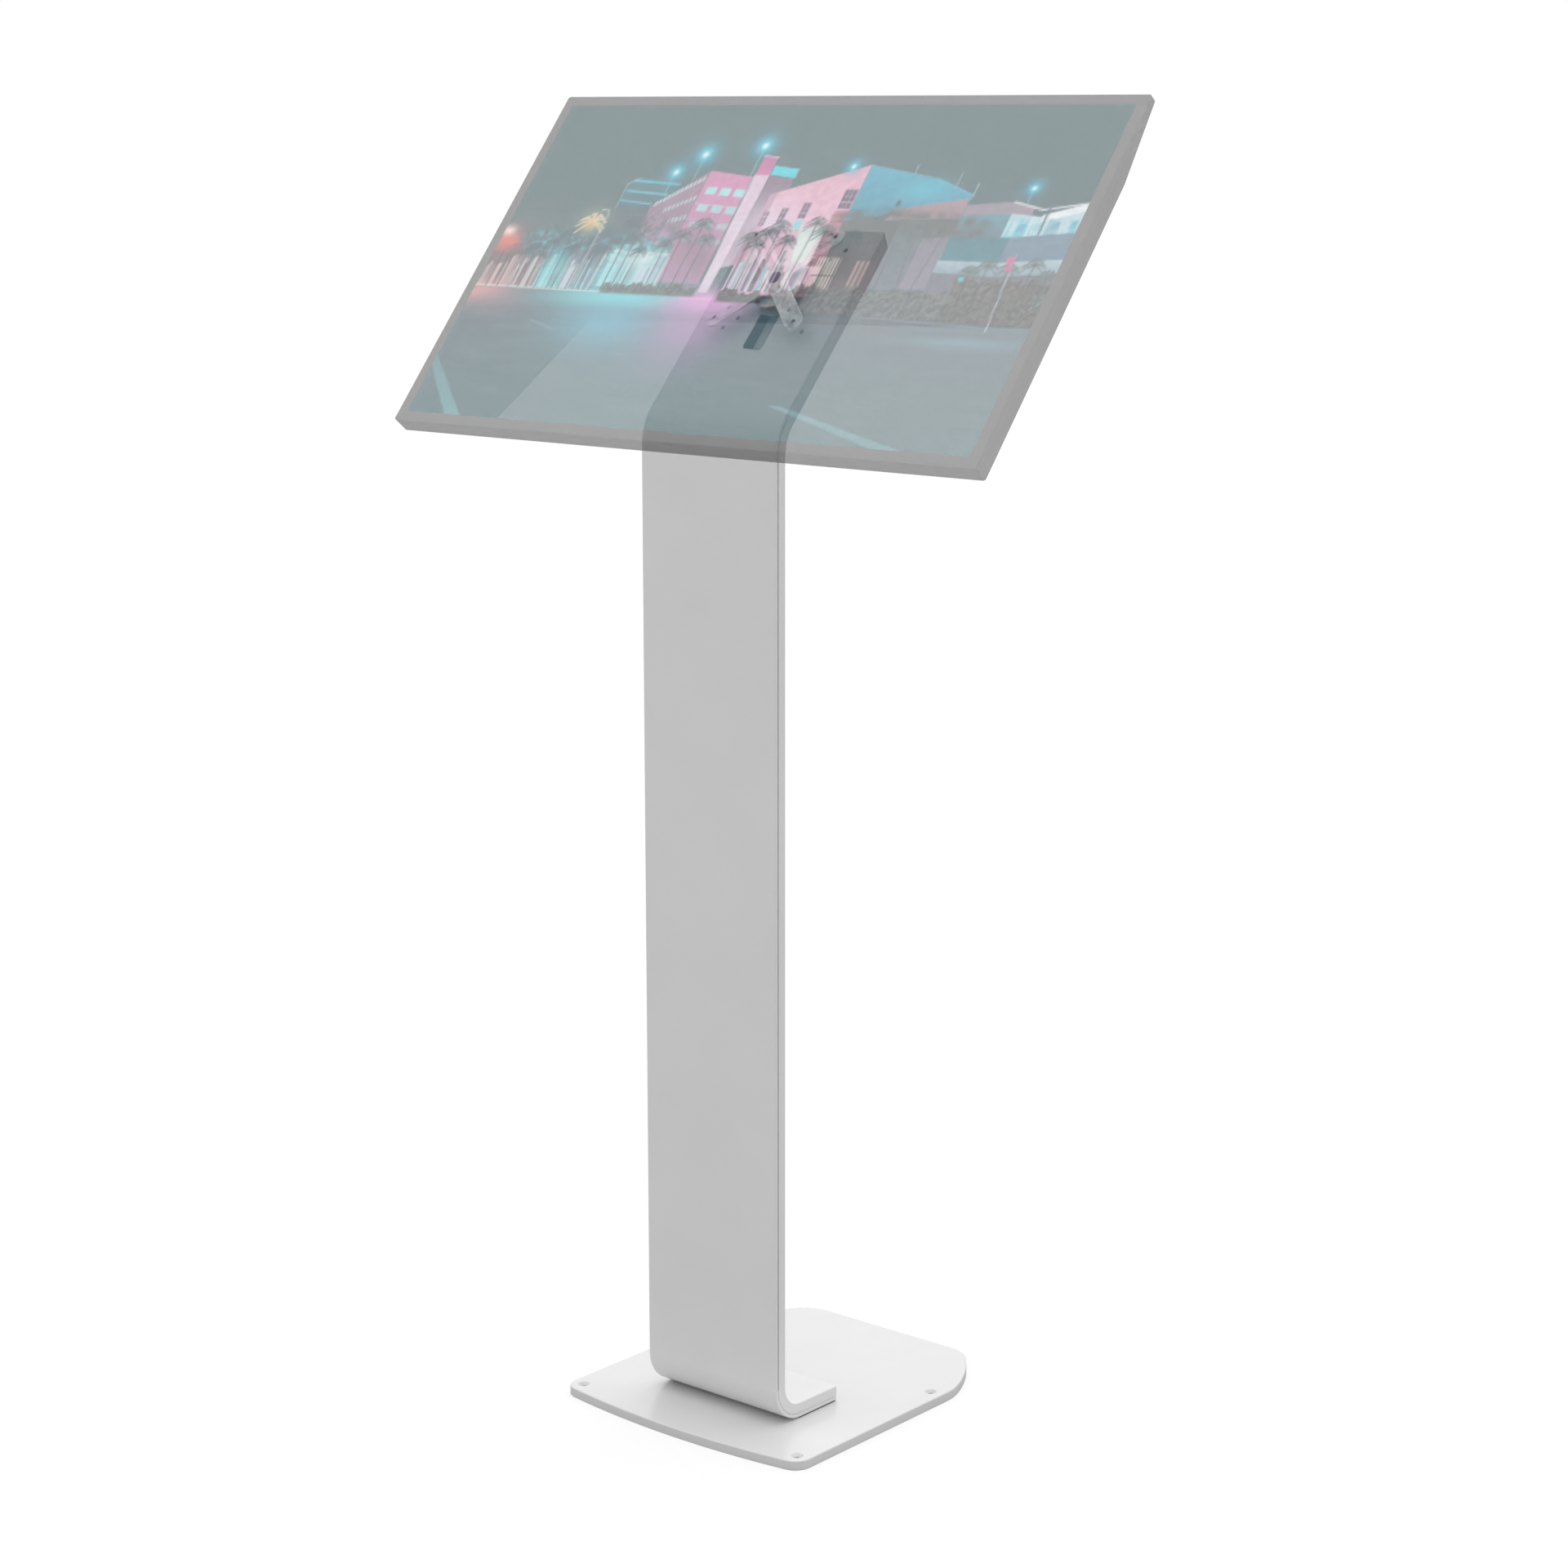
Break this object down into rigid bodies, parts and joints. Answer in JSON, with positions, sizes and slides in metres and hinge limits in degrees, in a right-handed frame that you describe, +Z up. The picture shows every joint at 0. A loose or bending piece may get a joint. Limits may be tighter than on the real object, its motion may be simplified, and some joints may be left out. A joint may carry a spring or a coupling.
{
  "type": "touchscreen kiosk",
  "caption": "Free-standing floor kiosk: bent steel column on a bolted base plate, carrying a large sloping touch display on a tilting and turning mount.",
  "frame": {"origin": "centre of the four floor holes, on the underside of the base plate", "axes": "+Z up, +X to the right of a person facing the screen, +Y away from that person"},
  "size_m": [0.731, 0.3514, 1.3095],
  "materials": {
    "powder_white": "fine matt powder coat",
    "powder_grey": "fine matt powder coat",
    "casing_grey": "fine moulded grain",
    "bezel_grey": "satin paint",
    "bare_steel": "mill finish",
    "plated_steel": "zinc plated",
    "zinc_screw": "zinc plated",
    "black_screw": "black oxide",
    "black_rubber": "matt",
    "dark_plastic": "fine texture",
    "ivory_plastic": "smooth",
    "grey_cable": "matt",
    "brass_part": "turned",
    "screen_glass": "clear, bonded",
    "panel_dark": "polariser",
    "film_white": "diffuse film",
    "guide_clear": "clear acrylic",
    "led_board": "printed board",
    "circuit_green": "solder mask",
    "ribbon": "polyimide film",
    "socket_metal": "nickel plated",
    "lens_dark": "smoked",
    "key_grey": "fine texture"
  },
  "bodies": {
    "stand": {"base_plate": "powder_white", "foot_gasket": "black_rubber", "foot_block": "bare_steel", "foot_screws": "zinc_screw", "cable_grommet": "black_rubber", "front_skin": "powder_white", "rear_shell": "powder_white", "seam_gasket": "black_rubber", "column_stiffeners": "bare_steel", "threaded_bosses": "bare_steel", "shell_screws": "zinc_screw", "head_block": "bare_steel", "slot_liner": "dark_plastic", "mains_cable": "black_rubber", "data_cable": "grey_cable", "cable_clips": "dark_plastic", "pivot_flange": "plated_steel", "flange_screws": "zinc_screw"},
    "tilt_head": {"tilt_block": "plated_steel", "tilt_screws": "black_screw", "friction_washer": "ivory_plastic", "hub_washer": "zinc_screw", "hub_bolt": "black_screw"},
    "display": {"turn_disc": "plated_steel", "spacer_ring": "plated_steel", "vesa_plate": "powder_grey", "plate_screws": "zinc_screw", "vesa_screws": "zinc_screw", "rear_cover": "casing_grey", "vesa_standoffs": "brass_part", "front_bezel": "bezel_grey", "touch_glass": "screen_glass", "lcd_panel": "panel_dark", "diffuser_films": "film_white", "light_guide": "guide_clear", "led_bar": "led_board", "chassis_tray": "bare_steel", "control_board": "circuit_green", "power_board": "circuit_green", "touch_controller": "circuit_green", "panel_ribbon": "ribbon", "touch_ribbon": "ribbon", "io_sockets": "socket_metal", "speakers": "dark_plastic", "cover_screws": "zinc_screw", "status_lens": "lens_dark", "key_board": "circuit_green", "rocker_pin": "plated_steel"},
    "power_key": {"power_button": "key_grey"},
    "volume_key": {"volume_rocker": "key_grey"}
  },
  "joints": [
    {"name": "display_tilt", "type": "hinge", "parent": "stand", "child": "tilt_head", "pos_m": [0, 0.03869, 1.12979], "axis": [1, 0, 0], "range_deg": [-10, 5]},
    {"name": "display_turn", "type": "hinge", "parent": "tilt_head", "child": "display", "pos_m": [0, 0.03869, 1.12979], "axis": [0, -0.7743, 0.6328], "range_deg": [0, 90]},
    {"name": "power_press", "type": "slide", "parent": "display", "child": "power_key", "axis": [0, -0.7743, 0.6328], "range_m": [0, 0.001]},
    {"name": "volume_rock", "type": "hinge", "parent": "display", "child": "volume_key", "pos_m": [0.288, -0.10416, 1.00116], "axis": [0, 0.6328, 0.7743], "range_deg": [-4, 4]}
  ]
}
